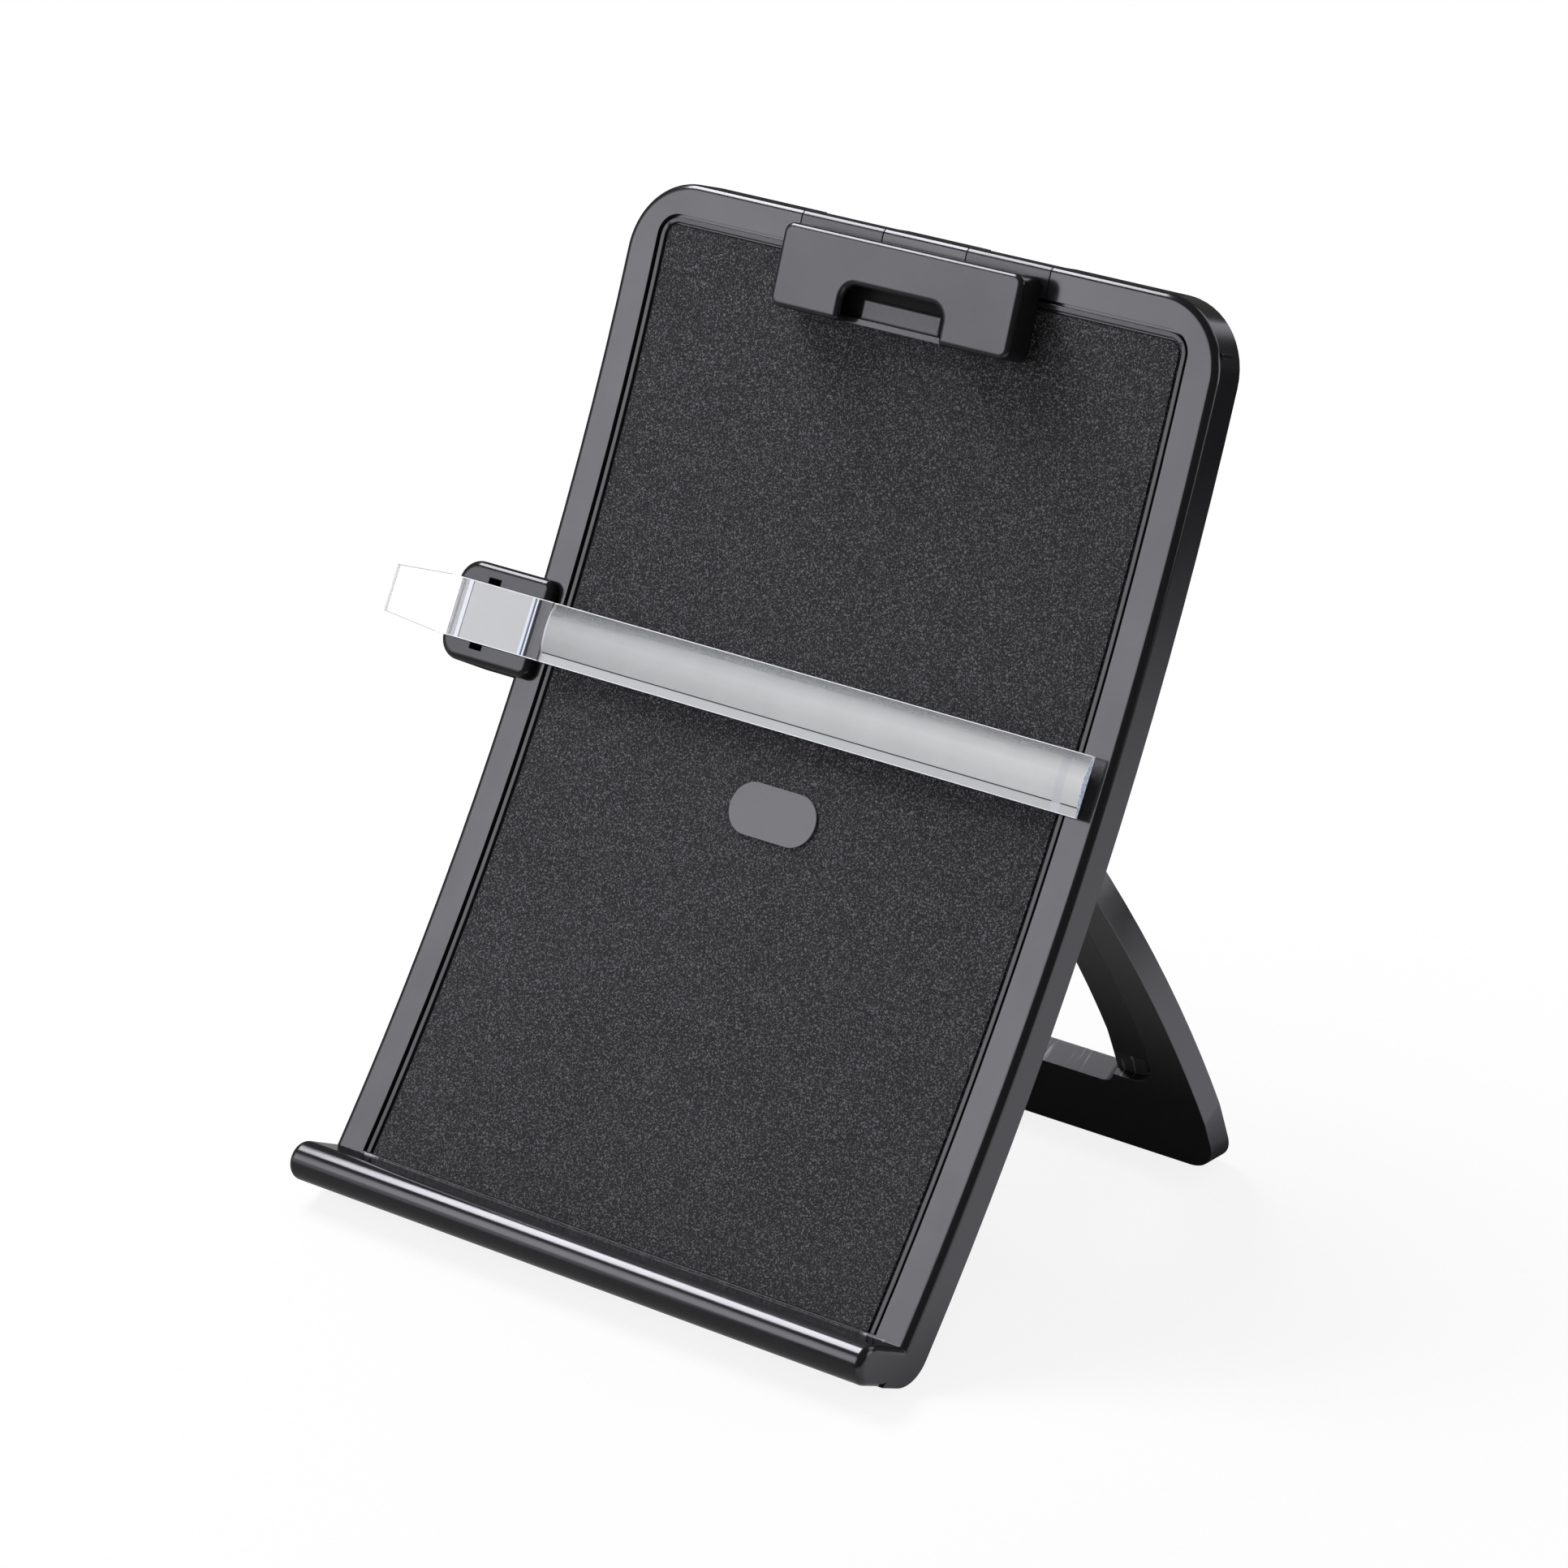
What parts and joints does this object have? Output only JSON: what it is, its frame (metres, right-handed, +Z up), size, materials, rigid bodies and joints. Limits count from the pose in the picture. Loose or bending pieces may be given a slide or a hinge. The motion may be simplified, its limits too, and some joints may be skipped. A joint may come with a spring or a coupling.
{
  "type": "copy holder with line guide",
  "caption": "Curved easel copy holder with a bottom shelf, a sprung top clip, a folding rear leg and a clear magnifying line guide that slides along the left edge.",
  "frame": {"origin": "on the desk, under the middle of the board's rubber foot strip", "axes": "+Z up from the desk, +X to the reader's right, +Y to the back, away from the reader"},
  "size_m": [0.2964, 0.2208, 0.3114],
  "materials": {
    "gloss_black": "smooth moulded black plastic",
    "slider_black": "smooth moulded black plastic",
    "clip_black": "smooth moulded black plastic",
    "leg_black": "smooth moulded black plastic",
    "grained_black": "fine leather-like grain inside a smooth bead",
    "badge_grey": "satin dark grey",
    "grip_grey": "satin dark grey",
    "rubber": "matt",
    "steel": "plain drawn steel",
    "felt": "dark felt",
    "clear_plastic": "clear acrylic, polished"
  },
  "bodies": {
    "board": {"board_shell": "gloss_black", "front_panel": "grained_black", "badge_plaque": "badge_grey", "board_foot_strip": "rubber", "clip_hinge_pin": "steel", "clip_spring_left": "steel", "clip_spring_right": "steel", "leg_pin_left": "steel", "leg_pin_right": "steel"},
    "line_guide": {"slider_housing": "slider_black", "slider_back_cover": "slider_black", "slider_screws": "steel", "slider_spring": "steel", "glide_pads": "felt", "guide_bar": "clear_plastic"},
    "clip": {"clip_cover": "clip_black", "clip_grip_bar": "grip_grey"},
    "leg": {"leg_frame": "leg_black", "leg_foot_pads": "rubber"}
  },
  "joints": [
    {"name": "guide_slide", "type": "hinge", "parent": "board", "child": "line_guide", "pos_m": [0, -0.76194, 0.62224], "axis": [1, 0, 0], "range_deg": [-9.6, 6.58]},
    {"name": "clip_hinge", "type": "hinge", "parent": "board", "child": "clip", "pos_m": [0, 0.16609, 0.30346], "axis": [-1, 0, 0], "range_deg": [0, 60], "stiffness_Nm_per_rad": 0.15, "springref_deg": -28.65},
    {"name": "leg_fold", "type": "hinge", "parent": "board", "child": "leg", "pos_m": [0, 0.11078, 0.1692], "axis": [-1, 0, 0], "range_deg": [0, 58.2]}
  ]
}
